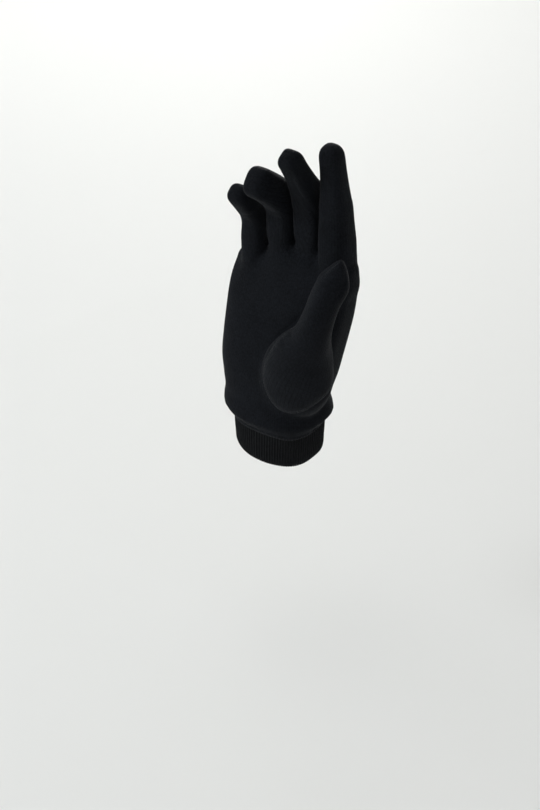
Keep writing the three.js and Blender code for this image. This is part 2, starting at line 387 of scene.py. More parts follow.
def onto_surface(field, points, rounds=3):
    """Moves points along the field's slope until they lie where it is zero."""
    for _ in range(rounds):
        slope = field_slope(field, points)
        steep = np.maximum((slope**2).sum(axis=1), FLATTEST_SLOPE)
        move = slope * (field(points) / steep)[:, None]
        length = np.linalg.norm(move, axis=1, keepdims=True)
        points = points - move * np.minimum(1.0, LONGEST_MOVE / np.maximum(length, 1e-9))
    return points


def surface_net(field, low, high, step):
    """Four-sided faces round the zero level of a field: one point in each grid cell it crosses."""
    axes = [np.arange(a, b + step, step) for a, b in zip(low, high)]
    shape = tuple(len(axis) for axis in axes)
    grid = np.stack(np.meshgrid(*axes, indexing="ij"), axis=-1).reshape(-1, 3)
    values = field(grid).reshape(shape)
    inside = values < 0
    strides = np.array((shape[1] * shape[2], shape[2], 1))
    total = np.zeros((values.size, 3))
    count = np.zeros(values.size)
    corners = []
    for axis in range(3):
        here = [slice(None)] * 3
        there = [slice(None)] * 3
        here[axis] = slice(None, -1)
        there[axis] = slice(1, None)
        crossing = np.argwhere(inside[tuple(here)] != inside[tuple(there)])
        others = [k for k in range(3) if k != axis]
        crossing = crossing[np.all(crossing[:, others] > 0, axis=1)]
        ahead = crossing.copy()
        ahead[:, axis] += 1
        start = values[tuple(crossing.T)]
        end = values[tuple(ahead.T)]
        point = crossing.astype(float)
        point[:, axis] += start / (start - end)
        cell = crossing @ strides
        u, v = strides[others[0]], strides[others[1]]
        around = np.stack((cell, cell - u, cell - u - v, cell - v), axis=1)
        for k in range(4):
            np.add.at(total, around[:, k], point)
            np.add.at(count, around[:, k], 1)
        turned = (start < 0) ^ (axis == 1)
        around[~turned] = around[~turned][:, ::-1]
        corners.append(around)
    corners = np.vstack(corners)
    used, faces = np.unique(corners, return_inverse=True)
    points = total[used] / count[used, None] * step + np.array([axis[0] for axis in axes])
    return points, faces.reshape(-1, 4)


# The thumb's oval seam, from its crotch down between thumb and palm, under the ball of the thumb, and
# up again on the far side
THUMB_SEAM_POINTS = (
    (25.5, -24.0, 103.5),
    (21.0, -26.0, 99.0),
    (15.8, -28.0, 91.0),
    (12.2, -28.4, 83.0),
    (7.0, -25.5, 72.0),
    (6.0, -25.5, 62.0),
    (9.0, -26.0, 54.5),
    (13.5, -25.0, 47.5),
    (18.5, -24.0, 44.5),
    (23.5, -23.0, 44.5),
    (32.5, -22.5, 49.5),
    (41.5, -19.5, 57.0),
    (45.0, -15.0, 61.5),
    (45.5, -10.0, 64.5),
    (43.0, -4.5, 70.0),
    (41.5, -4.5, 78.0),
    (41.5, -6.5, 88.0),
    (40.5, -8.0, 96.0),
    (37.5, -10.5, 103.0),
    (32.0, -14.0, 105.5),
)
ROUGH_SEAM_GAP = 4.0
SEAM_POINT_GAP = 1.0
SEAM_PULL = 0.55  # the knit dips where the seam's thread draws it in
SEAM_PULL_SPREAD = 2.4
CURVE_STEPS = 16


def points_at(line, at):
    """Points of a line at the given distances from its start."""
    length = length_along(line)
    return np.stack([np.interp(at, length, line[:, i]) for i in range(3)], axis=1)


def smooth_loop(rows, gap):
    """A closed smooth curve through the rows, with points every gap millimetres."""
    rows = np.array(rows, dtype=float)
    a, b, c, d = (np.roll(rows, shift, axis=0)[:, None, :] for shift in (1, 0, -1, -2))
    t = np.linspace(0, 1, CURVE_STEPS, endpoint=False)[None, :, None]
    curve = b + t * (c - a) / 2 + t**2 * (a - 2.5 * b + 2 * c - d / 2) + t**3 * (d - a + 3 * (b - c)) / 2
    curve = curve.reshape(-1, 3)
    closed = np.vstack((curve, curve[:1]))
    whole = length_along(closed)[-1]
    count = int(round(whole / gap))
    return points_at(closed, np.arange(count) * whole / count)


rough_seam = onto_surface(glove_field, smooth_loop(THUMB_SEAM_POINTS, ROUGH_SEAM_GAP), rounds=6)
thumb_seam = onto_surface(glove_field, smooth_loop(rough_seam, SEAM_POINT_GAP))


# Creases that the knit keeps: first how deep and how wide each is, then the points it runs through
CREASE_POINT_GAP = 0.6
CREASES = {
    "fold at the thumb's tip": (
        (0.9, 1.2),
        (59.1, -19.2, 154.7),
        (61.1, -20.4, 150.6),
        (62.0, -22.1, 146.8),
        (61.5, -24.5, 142.7),
        (60.5, -25.8, 139.1),
    ),
    "between thumb and palm": (
        (1.2, 0.95),
        (21.4, -10.3, 105.4),
        (18.2, -11.4, 100.7),
        (14.6, -12.4, 96.0),
        (10.1, -13.4, 90.7),
        (5.1, -14.7, 84.2),
    ),
    "first pucker at the crotch": (
        (0.6, 1.1),
        (26.0, -24.5, 103.0),
        (29.5, -28.0, 104.0),
        (33.0, -31.0, 105.0),
    ),
    "second pucker at the crotch": (
        (0.6, 1.1),
        (21.5, -26.5, 98.5),
        (25.0, -29.5, 98.5),
        (29.0, -32.0, 98.5),
    ),
    "third pucker at the crotch": (
        (0.5, 1.1),
        (17.0, -28.5, 91.5),
        (21.0, -30.5, 92.5),
        (25.0, -32.5, 93.0),
    ),
    "tuck under the thumb": (
        (0.45, 2.4),
        (37.0, -21.0, 53.5),
        (43.0, -17.5, 59.0),
        (45.5, -11.5, 63.0),
        (44.0, -5.5, 68.0),
    ),
    "root of the middle finger": (
        (0.4, 1.2),
        (7.5, -6.0, 135.0),
        (12.0, -7.5, 132.5),
        (17.0, -8.0, 132.0),
    ),
    "pull along the middle finger": (
        (0.5, 1.3),
        (22.0, -19.5, 202.5),
        (19.4, -14.5, 194.0),
        (19.8, -10.2, 186.7),
        (21.5, -7.2, 181.0),
        (23.2, -4.7, 176.1),
        (24.8, -2.3, 171.8),
        (25.6, 0.9, 166.3),
    ),
}


def polyline(rows, gap):
    """Straight runs between the rows, with points about every gap millimetres."""
    rows = np.array(rows)
    whole = length_along(rows)[-1]
    return points_at(rows, np.linspace(0, whole, int(whole / gap) + 2))


def groove_along(points, line, depth, spread):
    """How far the surface dips at each point for a soft groove along a line."""
    dip = np.zeros(len(points))
    reach = 3 * spread
    low, high = line.min(axis=0) - reach, line.max(axis=0) + reach
    near = np.where(np.all((points > low) & (points < high), axis=1))[0]
    _, squared = nearest_on_line(points[near], line)
    dip[near] = depth * np.exp(-squared / spread**2)
    return dip


creases = [
    (depth, spread, onto_surface(glove_field, polyline(line, CREASE_POINT_GAP)))
    for (depth, spread), *line in CREASES.values()
]


def sewn_field(points):
    """The glove's surface with the dip along the thumb's seam and the creases."""
    field = glove_field(points) + groove_along(points, thumb_seam, SEAM_PULL, SEAM_PULL_SPREAD)
    for depth, spread, line in creases:
        field += groove_along(points, line, depth, spread)
    return field


def open_edges(faces):
    """The edges that only one face has."""
    edges = np.sort(np.stack((faces, np.roll(faces, -1, axis=1)), axis=2).reshape(-1, 2), axis=1)
    edges, count = np.unique(edges, axis=0, return_counts=True)
    return edges[count == 1]


# Where each loop of the knit lies: wales counted round the hand, courses counted up it
WALES_ROUND_HAND = 138
WALES_ROUND_THUMB = 50
WALE = 1.42
COURSE = 1.05
FINGER_KNIT_RADIUS = 9.2
FINGER_TAKES_OVER = (-10.0, 6.0)  # from where to where along a finger its own wales take over
WALES_PICKED_UP_BELOW = 6.0  # how far below its root a finger's wales are counted in the hand
ROOT_TO_SKIN = 14.0


def superellipse(angle, square):
    """The X and Y of a rounded square of half width 1, a circle where square is 2."""
    return (
        np.sign(np.cos(angle)) * np.abs(np.cos(angle)) ** (2 / square),
        np.sign(np.sin(angle)) * np.abs(np.sin(angle)) ** (2 / square),
    )


def wales_round_hand(points):
    """How many wales round the hand each point is, so that every course has the same count."""
    turn = np.radians(np.arange(361))
    table = np.empty((len(HAND_ROWS), len(turn)))
    for i, (_, _, _, half, palm, back, square, _) in enumerate(HAND_ROWS):
        across, through = superellipse(turn, square)
        steps = np.hypot(np.diff(across * half), np.diff(through * np.where(through > 0, back, palm)))
        length = np.concatenate(((0.0,), np.cumsum(steps)))
        angle = np.unwrap(np.arctan2(through, across))
        table[i] = np.interp(turn, angle, length / length[-1])
    level = hand_level(points)
    across = (points[:, 0] - hand_value("x", level)) / hand_value("half", level)
    through = points[:, 1] - hand_value("y", level)
    depth = np.where(through > 0, hand_value("back", level), hand_value("palm", level))
    angle = np.arctan2(through / depth, across)
    row = np.interp(level, HAND_ROWS[:, 0], np.arange(len(HAND_ROWS)))
    column = np.degrees(angle % (2 * math.pi))
    low_row = np.minimum(row.astype(int), len(HAND_ROWS) - 2)
    low_column = np.minimum(column.astype(int), 359)
    up, on = row - low_row, column - low_column
    below = table[low_row, low_column] * (1 - on) + table[low_row, low_column + 1] * on
    above = table[low_row + 1, low_column] * (1 - on) + table[low_row + 1, low_column + 1] * on
    return (below * (1 - up) + above * up) * WALES_ROUND_HAND


def wrapped(angle):
    """An angle brought to within half a turn of zero."""
    return (angle + math.pi) % (2 * math.pi) - math.pi


def knit_places(points, faces):
    """Wale and course of each corner of each face. The fingers carry the hand's wales on."""
    hand_wale = wales_round_hand(points)
    hand_course = hand_level(points) / COURSE
    nearest = np.full(len(points), 1e9)
    front_wale, back_wale, course = hand_wale.copy(), hand_wale.copy(), hand_course.copy()
    for tube in finger_tubes:
        field, near, place = tube_field(points, **tube)
        index = np.where(near)[0]
        where, angle = place
        best = field[index] < nearest[index]
        index, where, angle = index[best], where[best], angle[best]
        nearest[index] = field[index]
        root = tube["path"][np.argmin(np.abs(tube["distance"]))] - (0, 0, WALES_PICKED_UP_BELOW)
        on_skin = np.array((root - (0, ROOT_TO_SKIN, 0), root + (0, ROOT_TO_SKIN, 0)))
        front, back = wales_round_hand(on_skin)
        on_finger = smoothstep(where, *FINGER_TAKES_OVER)
        reach = FINGER_KNIT_RADIUS / WALE
        to_front = wrapped(angle + math.pi / 2)
        to_back = wrapped(angle - math.pi / 2)
        front_wale[index] += on_finger * (front + to_front * reach - hand_wale[index])
        back_wale[index] += on_finger * (back + to_back * reach - hand_wale[index])
        course[index] += on_finger * ((WEB_LEVEL + where) / COURSE - hand_course[index])
    _, near, (where, angle) = tube_field(points, **thumb_tube)
    thumb_wale, thumb_course = np.zeros(len(points)), np.zeros(len(points))
    thumb_wale[near] = angle / (2 * math.pi) * WALES_ROUND_THUMB
    thumb_course[near] = where / COURSE
    centre = points[faces].mean(axis=1)
    on_thumb = thumb_field(centre) < body_field(centre)
    on_back = centre[:, 1] > hand_value("y", hand_level(centre))
    wale = np.where(on_back[:, None], back_wale[faces], front_wale[faces])
    wale = np.where(on_thumb[:, None], thumb_wale[faces], wale)
    course = np.where(on_thumb[:, None], thumb_course[faces], course[faces])
    round_count = np.where(on_thumb, WALES_ROUND_THUMB, WALES_ROUND_HAND)[:, None]
    wale -= np.round((wale - wale[:, :1]) / round_count) * round_count
    return np.stack((wale, course), axis=2)


# The slack knit drags the seam at the cuff, and the cuff's rim, up and down round the wrist. Across
# the hand from the little finger's side to the thumb's, how far each stands above its own level
LIFT_COLUMNS = ("side", "seam", "rim")
WRIST_LIFTS = np.array(
    (
        (-1.0, 1.8, 0.3),
        (-0.6, 3.1, 0.3),
        (-0.2, 2.4, -1.0),
        (0.2, 0.8, -1.3),
        (0.5, 2.0, -0.5),
        (0.8, 4.2, 1.6),
        (1.0, 6.2, 1.6),
    )
)
SIDE_DIRECTION = (0.788, 0.616)
WRIST_HALF = 28.0
DRAG_TOP = 34.0  # above this the hand is not dragged
SKIN_LOW = (-44, -42, SEAM_LEVEL)
SKIN_HIGH = (68, 34, 222)


def wrist_lift(points, edge):
    """How far the cuff's seam or its rim is dragged up at each point."""
    side = (points[:, 0] * SIDE_DIRECTION[0] + points[:, 1] * SIDE_DIRECTION[1]) / WRIST_HALF
    return smooth_curve(side, WRIST_LIFTS[:, 0], WRIST_LIFTS[:, LIFT_COLUMNS.index(edge)])


skin_points, skin_faces = surface_net(glove_field, SKIN_LOW, SKIN_HIGH, GRID_STEP)
rim = np.unique(open_edges(skin_faces))
skin_points = onto_surface(sewn_field, skin_points)
skin_points[rim, 2] = SEAM_LEVEL
knit_uvs = knit_places(skin_points, skin_faces)
near_seam = 1 - smoothstep(skin_points[:, 2], SEAM_LEVEL, DRAG_TOP)
skin_points[:, 2] += near_seam * wrist_lift(skin_points, "seam")


def mesh_piece(name, points, faces, places=None):
    """An object from points in millimetres and faces. Places are UVs, one for each face corner."""
    mesh = bpy.data.meshes.new(name)
    mesh.from_pydata((points * MM).tolist(), [], faces.tolist())
    if places is not None:
        mesh.uv_layers.new(name="knit").data.foreach_set("uv", places.reshape(-1))
    mesh.shade_smooth()
    mesh.update()
    piece = bpy.data.objects.new(name, mesh)
    bpy.context.scene.collection.objects.link(piece)
    return piece


def apply_modifiers(piece):
    """Turns what the modifiers make into a plain mesh and takes them off."""
    evaluated = piece.evaluated_get(bpy.context.evaluated_depsgraph_get())
    mesh = bpy.data.meshes.new_from_object(evaluated)
    piece.modifiers.clear()
    piece.data = mesh
    return piece


def node(tree, kind, inputs=None, at=(0, 0), **settings):
    """Adds a node to a tree. Its inputs are sockets to link or values to set, by name or number."""
    made = tree.nodes.new(kind)
    made.location = at
    for name, value in settings.items():
        setattr(made, name, value)
    for name, value in (inputs or {}).items():
        if isinstance(value, bpy.types.NodeSocket):
            tree.links.new(value, made.inputs[name])
        else:
            made.inputs[name].default_value = value
    return made


def start_tree(kind, name, inputs, outputs):
    """A node tree with named inputs and outputs. Returns the tree and those sockets."""
    tree = bpy.data.node_groups.new(name, kind + "NodeTree")
    for sockets, in_out in ((inputs, "INPUT"), (outputs, "OUTPUT")):
        for socket, holds in sockets.items():
            tree.interface.new_socket(socket, in_out=in_out, socket_type="NodeSocket" + holds)
    return tree, node(tree, "NodeGroupInput").outputs, node(tree, "NodeGroupOutput").inputs


def end_tree(tree, geometry, material, result):
    """Makes a tree's repeats real, gives them their material and puts them out."""
    realized = node(tree, "GeometryNodeRealizeInstances", {0: geometry}).outputs[0]
    finished = node(tree, "GeometryNodeSetMaterial", dict(Geometry=realized, Material=material))
    tree.links.new(finished.outputs[0], result[0])


def math_node(tree, operation, *inputs, clamp=False):
    """A Math node whose inputs are sockets or numbers. Returns its output."""
    numbered = dict(enumerate(inputs))
    return node(tree, "ShaderNodeMath", numbered, operation=operation, use_clamp=clamp).outputs[0]


def input_of(tree, name):
    """The identifier of a tree's input, which is what a modifier knows it by."""
    sockets = (item for item in tree.interface.items_tree if item.item_type == "SOCKET")
    return next(item.identifier for item in sockets if item.in_out == "INPUT" and item.name == name)


def run_nodes(piece, tree, **values):
    """Runs a Geometry Nodes tree on a piece with the given inputs, and keeps what it makes as a mesh."""
    modifier = piece.modifiers.new(tree.name, "NODES")
    modifier.node_group = tree
    for name, value in values.items():
        modifier[input_of(tree, name.replace("_", " "))] = value
    return apply_modifiers(piece)


def named_attribute(tree, name, kind):
    made = node(tree, "GeometryNodeInputNamedAttribute", dict(Name=name), data_type=kind)
    return made.outputs["Attribute"]


def add_attribute(piece, name, kind, values):
    """Writes a value for each point of a piece, for the nodes to read."""
    attribute = piece.data.attributes.new(name, kind, "POINT")
    field = "vector" if kind == "FLOAT_VECTOR" else "value"
    attribute.data.foreach_set(field, np.asarray(values, float).reshape(-1))


# The knit's surface: how slanted and how full its loops are, how the dye varies, and how much painted
# shade darkens the grooves between the wales
LOOP_SLANT = 0.6
YARN_FULLNESS = 0.7  # the lower this and the next are, the flatter a loop's top and the steeper its sides
LEG_FULLNESS = 0.6
LEG_RISE = 0.55  # how much of a loop's height its leg loses towards its ends
GROOVE_SHARPNESS = 5.0
GROOVE_DEPTH = 0.45
# painted shade: how much darker the grooves between the wales are coloured
GROOVE_PAINTED_SHADE = 0.3
PATCH_SCALE = 45.0
PATCH_TONE = 0.8
FLECK_SCALE = 900.0
FLECK_TONE = 1.4
MEAN_TONE = -0.6


def make_stockinette():
    """Plain knit: columns of V-shaped loops, one wale wide and one course high for each unit of UV."""
    inputs = {"Knit UV": "Vector", "Slant": "Float"}
    outputs = {"Height": "Float", "Groove": "Float"}
    tree, given, result = start_tree("Shader", "stockinette", inputs, outputs)
    split = node(tree, "ShaderNodeSeparateXYZ", {0: given["Knit UV"]})
    in_wale = math_node(tree, "FRACT", split.outputs["X"])
    from_middle = math_node(tree, "ABSOLUTE", math_node(tree, "SUBTRACT", in_wale, 0.5))
    from_middle = math_node(tree, "MULTIPLY", from_middle, 2.0)
    lean = math_node(tree, "MULTIPLY", from_middle, given["Slant"])
    in_course = math_node(tree, "FRACT", math_node(tree, "SUBTRACT", split.outputs["Y"], lean))
    yarn = math_node(tree, "SINE", math_node(tree, "MULTIPLY", in_course, math.pi))
    leg = math_node(tree, "SINE", math_node(tree, "MULTIPLY", from_middle, math.pi))
    yarn = math_node(tree, "POWER", math_node(tree, "MAXIMUM", yarn, 0.0), YARN_FULLNESS)
    leg = math_node(tree, "POWER", math_node(tree, "MAXIMUM", leg, 0.0), LEG_FULLNESS)
    groove = math_node(tree, "POWER", from_middle, GROOVE_SHARPNESS)
    body = math_node(tree, "MULTIPLY_ADD", yarn, 0.5, 0.5)
    body = math_node(tree, "MULTIPLY", body, math_node(tree, "MULTIPLY_ADD", leg, LEG_RISE, 1 - LEG_RISE))
    height = math_node(tree, "SUBTRACT", body, math_node(tree, "MULTIPLY", groove, GROOVE_DEPTH))
    tree.links.new(height, result["Height"])
    tree.links.new(groove, result["Groove"])
    return tree


def make_yarn_tone_and_groove_shade():
    """Slight changes of tone in the dyed yarn, broad patches and single loops lighter or darker, and
    painted shade that darkens the grooves between the wales.
    """
    inputs = dict(Dark="Color", Light="Color", Groove="Float")
    tree, given, result = start_tree("Shader", "yarn_tone_and_groove_shade", inputs, dict(Color="Color"))
    place = node(tree, "ShaderNodeTexCoord").outputs["Object"]
    tone = MEAN_TONE
    for scale, detail, strength in ((PATCH_SCALE, 3.0, PATCH_TONE), (FLECK_SCALE, 2.0, FLECK_TONE)):
        noise = node(tree, "ShaderNodeTexNoise", dict(Scale=scale, Detail=detail, Vector=place))
        tone = math_node(tree, "MULTIPLY_ADD", noise.outputs["Fac"], strength, tone)
    # Painted shade: the grooves between the wales are coloured darker
    shade = math_node(tree, "MULTIPLY", given["Groove"], GROOVE_PAINTED_SHADE)
    tone = math_node(tree, "SUBTRACT", tone, shade, clamp=True)
    shades = dict(Factor=tone, A=given["Dark"], B=given["Light"])
    mix = node(tree, "ShaderNodeMix", shades, data_type="RGBA")
    tree.links.new(mix.outputs["Result"], result["Color"])
    return tree


stockinette = make_stockinette()
yarn_tone_and_groove_shade = make_yarn_tone_and_groove_shade()


def yarn_material(name, dark, light, **settings):
    """A material of dyed yarn, and the node that gives its tone. Settings are inputs of its shader."""
    material = bpy.data.materials.new(name)
    material.use_nodes = True
    tree = material.node_tree
    shader = tree.nodes["Principled BSDF"]
    for setting, value in settings.items():
        shader.inputs[setting.replace("_", " ")].default_value = value
    shades = dict(Dark=(*dark, 1.0), Light=(*light, 1.0))
    tone = node(tree, "ShaderNodeGroup", shades, at=(-450, 200), node_tree=yarn_tone_and_groove_shade)
    tree.links.new(tone.outputs["Color"], shader.inputs["Base Color"])
    return material, tone


def knit_material(name, dark, light, loop_height, sheen=0.05, nap=0.26, tint=(0.93, 0.97, 1.0)):
    """Dyed knit: loops from the UV map, a soft nap at grazing angles, no gloss."""
    sheens = dict(Sheen_Weight=sheen, Sheen_Roughness=nap, Sheen_Tint=(*tint, 1.0))
    material, tone = yarn_material(name, dark, light, Roughness=0.85, Specular_IOR_Level=0.06, **sheens)
    tree = material.node_tree
    places = node(tree, "ShaderNodeUVMap", at=(-900, 0), uv_map="knit")
    knit = {"Knit UV": places.outputs["UV"], "Slant": LOOP_SLANT}
    loops = node(tree, "ShaderNodeGroup", knit, at=(-700, 0), node_tree=stockinette)
    relief = dict(Strength=1.0, Distance=loop_height * MM, Height=loops.outputs["Height"])
    bump = node(tree, "ShaderNodeBump", relief, at=(-300, -200))
    # The grooves between the loops' wales carry the painted shade into the tone
    tree.links.new(loops.outputs["Groove"], tone.inputs["Groove"])
    tree.links.new(bump.outputs["Normal"], tree.nodes["Principled BSDF"].inputs["Normal"])
    return material


fine_knit = knit_material(
    "fine_knit",
    dark=(0.0034, 0.0040, 0.0051),
    light=(0.0116, 0.0132, 0.0168),
    loop_height=0.14,
)

knit_hand = mesh_piece("knit_hand", skin_points, skin_faces, knit_uvs)
wall = knit_hand.modifiers.new("wall", "SOLIDIFY")
wall.thickness = KNIT_WALL * MM
wall.offset = -1.0
apply_modifiers(knit_hand)
knit_hand.data.materials.append(fine_knit)
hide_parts("hand", "thumb", "index_finger", "middle_finger", "ring_finger", "little_finger")
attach(knit_hand, "root")


# The rib cuff
# A band of 1 by 1 rib, knitted double: the outer layer turns round the wrist edge and runs back up
# inside. Its top edge is sewn to the hand, and it draws the glove in round the wrist.
CUFF_RIBS = 104
COLUMNS_PER_RIB = 8
RIB_RISE = 0.22
RIB_FULLNESS = 0.7
CUFF_WALL = 1.8
CUFF_COLUMNS = ("z", "x", "y", "half", "palm", "square")
CUFF_ROWS = np.array(
    (
        (0.0, -0.5, -0.3, 27.1, 23.0, 2.05),
        (2.0, -0.5, -0.4, 28.1, 23.8, 2.05),
        (9.0, -0.5, -0.5, 29.0, 24.4, 2.05),
        (15.0, -0.5, -0.5, 29.4, 24.6, 2.08),
        (20.6, -0.4, -0.4, 29.4, 24.8, 2.1),
    )
)
CUFF_TOP = CUFF_ROWS[-1, 0]
INSIDE_TOP = CUFF_TOP - 0.6
OUTSIDE_LINES = 16
FOLD_LINES = 9
INSIDE_LINES = 10
INSIDE_RIBS = 0.5  # how high the ribs stand on the inside, where they press on the wrist
CUFF_SWAYS = ((3, 0.25, 0.6, 0.05), (7, 0.15, 0.0, 0.11))  # waves, reach, start, drift up the cuff
RIM_WAVES = 5
RIM_WAVE_RISE = 0.12
RIM_WAVE_TOP = 3.0
CLOSING_COURSES = 2.0


def cuff_ring(angle, z, out=0.0):
    """Points round the cuff at a height, and the section, across and through that they come from."""
    columns = zip(CUFF_COLUMNS, CUFF_ROWS.T)
    section = {name: smooth_curve([z], CUFF_ROWS[:, 0], column) for name, column in columns}
    across, through = superellipse(angle, section["square"])
    x = section["x"] + across * (section["half"] + out)
    y = section["y"] + through * (section["palm"] + out)
    return np.stack((x, y, np.full(len(angle), z)), axis=1), section, across, through


def cuff_profile():
    """Heights and insets round the doubled band: down outside, round the fold and up inside."""
    fold = CUFF_WALL / 2
    outside = np.linspace(CUFF_TOP, fold, OUTSIDE_LINES)
    turn = np.linspace(0, math.pi, FOLD_LINES)[1:-1]
    inside = np.linspace(fold, INSIDE_TOP, INSIDE_LINES)
    heights = np.concatenate((outside, fold - fold * np.sin(turn), inside))
    insets = (np.zeros(OUTSIDE_LINES), fold - fold * np.cos(turn), np.full(INSIDE_LINES, CUFF_WALL))
    return heights, np.concatenate(insets)


def corner_places(count, corners):
    """UVs for a row of faces, from the U and the V of each of their four corners."""
    row = [(np.broadcast_to(u, count), np.broadcast_to(v, count)) for u, v in corners]
    return np.stack([np.stack(corner, axis=1) for corner in row], axis=1)


def make_cuff():
    """The band's points, faces and UVs, and for each point its turn round the band and its way out."""
    heights, insets = cuff_profile()
    count = CUFF_RIBS * COLUMNS_PER_RIB
    angle = np.arange(count) / count * 2 * math.pi
    points, places, outward = [], [], []
    travelled = 0.0
    for i, (z, inset) in enumerate(zip(heights, insets)):
        out = -inset
        for waves, reach, start, drift in CUFF_SWAYS:
            out = out + reach * np.sin(waves * angle + start + z * drift)
        ring, _, across, through = cuff_ring(angle, z, out)
        ways = unit(np.stack((across, through, np.zeros(count)), axis=1))
        outward.append(ways * (1.0 - (1.0 - INSIDE_RIBS) * inset / CUFF_WALL))
        ring[:, 2] += RIM_WAVE_RISE * np.sin(RIM_WAVES * angle + 1.0) * (z < RIM_WAVE_TOP)
        points.append(ring)
        if i:
            travelled += math.hypot(z - heights[i - 1], inset - insets[i - 1])
        places.append(travelled / COURSE)
    points = np.vstack(points)
    up = points[:, 2] / CUFF_TOP
    points[:, 2] += up * wrist_lift(points, "seam") + (1 - up) * wrist_lift(points, "rim")
    column = np.arange(count)
    after = (column + 1) % count
    faces, uvs = [], []
    rows = len(heights)
    start, end = column * 2 / COLUMNS_PER_RIB, (column + 1) * 2 / COLUMNS_PER_RIB
    for i in range(rows):
        j = (i + 1) % rows
        here, there = i * count, j * count
        faces.append(np.stack((here + column, there + column, there + after, here + after), axis=1))
        low = -places[i]
        high = -places[j] if j else low - CLOSING_COURSES
        uvs.append(corner_places(count, ((start, low), (start, high), (end, high), (end, low))))
    turn = np.tile(angle, rows)
    return (points, np.vstack(faces), np.vstack(uvs)), turn, np.vstack(outward)


def make_ribbing():
    """Raises a knitted band into ribs, along its outward directions, as it goes round."""
    inputs = dict(Band="Geometry", Ribs="Int", Rise="Float", Yarn="Material")
    tree, given, result = start_tree("Geometry", "ribbing", inputs, {"Ribbed band": "Geometry"})
    turn = named_attribute(tree, "turn", "FLOAT")
    wave = math_node(tree, "SINE", math_node(tree, "MULTIPLY", turn, given["Ribs"]))
    full = math_node(tree, "POWER", math_node(tree, "ABSOLUTE", wave), RIB_FULLNESS)
    full = math_node(tree, "MULTIPLY", full, math_node(tree, "SIGN", wave))
    rise = math_node(tree, "MULTIPLY", full, given["Rise"])
    outward = named_attribute(tree, "outward", "FLOAT_VECTOR")
    move = node(tree, "ShaderNodeVectorMath", {0: outward, "Scale": rise}, operation="SCALE")
    raised = node(tree, "GeometryNodeSetPosition", dict(Geometry=given["Band"], Offset=move.outputs[0]))
    end_tree(tree, raised.outputs[0], given["Yarn"], result)
    return tree


rib_knit = knit_material(
    "rib_knit",
    dark=(0.0043, 0.0046, 0.0053),
    light=(0.0118, 0.0127, 0.0140),
    loop_height=0.18,
    tint=(0.9, 0.95, 1.0),
)
cuff_band, cuff_turn, cuff_outward = make_cuff()
rib_cuff = mesh_piece("rib_cuff", *cuff_band)
add_attribute(rib_cuff, "turn", "FLOAT", cuff_turn)
add_attribute(rib_cuff, "outward", "FLOAT_VECTOR", cuff_outward)
run_nodes(rib_cuff, make_ribbing(), Ribs=CUFF_RIBS, Rise=RIB_RISE * MM, Yarn=rib_knit)
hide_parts("cuff")
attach(rib_cuff, "root")


# The seams
# Overlocked seams of turned knit, held by short stitches of the same black thread. One sets the thumb
# into its oval opening and stands up as a low double ridge. The finer one, a single ridge, joins the
# cuff to the hand.
THUMB_SEAM = dict(half_width=1.5, rise=0.55, valley=0.25)
CUFF_SEAM = dict(half_width=0.85, rise=0.34, valley=0.0)
SEAM_LINES = 11  # lines of points across a seam
VALLEY_SPREAD = 0.22
SEAM_SINK = 0.12  # how far a seam's edges are sunk in the knit
CUFF_SEAM_LEVEL = 20.3
CUFF_SEAM_POINTS = 176
CUFF_SEAM_STAND_OFF = 0.25
CUFF_STITCH_STAND_OFF = 0.2
THUMB_STITCHES = dict(every=2, width=2.7, rise=0.42)
CUFF_STITCHES = dict(every=2, width=1.5, rise=0.3)
STITCH_THICKNESS = 0.38
STITCH_STEPS = 6
STITCH_SIDES = 6

# The turned edges of the knit, pulled tight over the ridge, where the nap catches the light. Their colour
# is painted lighter than the hand's knit as a painted highlight along the ridge, and their sheen is a
# little stronger
seam_knit_painted_highlight = knit_material(
    "seam_knit_painted_highlight",
    dark=(0.0085, 0.0095, 0.0110),
    light=(0.0240, 0.0265, 0.0300),
    loop_height=0.12,
    sheen=0.09,
    nap=0.3,
)


def seam_profile(half_width, rise, valley):
    """Offsets across a seam and heights over the knit: a ridge, parted along its sewn line by a valley."""
    across = np.linspace(-1, 1, SEAM_LINES)
    ridge = rise * np.cos(across * math.pi / 2) ** 0.5
    height = ridge - valley * np.exp(-((across / VALLEY_SPREAD) ** 2))
    return across * half_width, height - SEAM_SINK


def loop_frame(path, normal):
    """The directions along a closed path and across it, in the surface that it lies on."""
    along = unit(np.roll(path, -1, axis=0) - np.roll(path, 1, axis=0))
    return along, unit(np.cross(normal, along))


def band_mesh(rows, gap):
    """Faces and UVs of a closed band from its rows of points, which run round the loop."""
    rows = np.stack(rows)
    lines, count = rows.shape[:2]
    at = np.arange(count)
    after = (at + 1) % count
    faces, uvs = [], []
    start, end = at * gap / COURSE, (at + 1) * gap / COURSE
    for i in range(lines - 1):
        here, there = i * count, (i + 1) * count
        faces.append(np.stack((here + at, here + after, there + after, there + at), axis=1))
        low, high = i * 0.5, (i + 1) * 0.5
        uvs.append(corner_places(count, ((low, start), (low, end), (high, end), (high, start))))
    return rows.reshape(-1, 3), np.vstack(faces), np.vstack(uvs)


def unit_slope(points):
    """The way out of the knit at each point."""
    return unit(field_slope(sewn_field, points))


def make_thumb_seam():
    """The thumb seam's band, and its path and directions for the stitches."""
    path = onto_surface(sewn_field, thumb_seam)
    along, side = loop_frame(path, unit_slope(path))
    rows = []
    for offset, height in zip(*seam_profile(**THUMB_SEAM)):
        line = onto_surface(sewn_field, path + side * offset, rounds=2)
        rows.append(line + unit_slope(line) * height)
    return band_mesh(rows[::-1], SEAM_POINT_GAP), path, along, unit_slope(path)


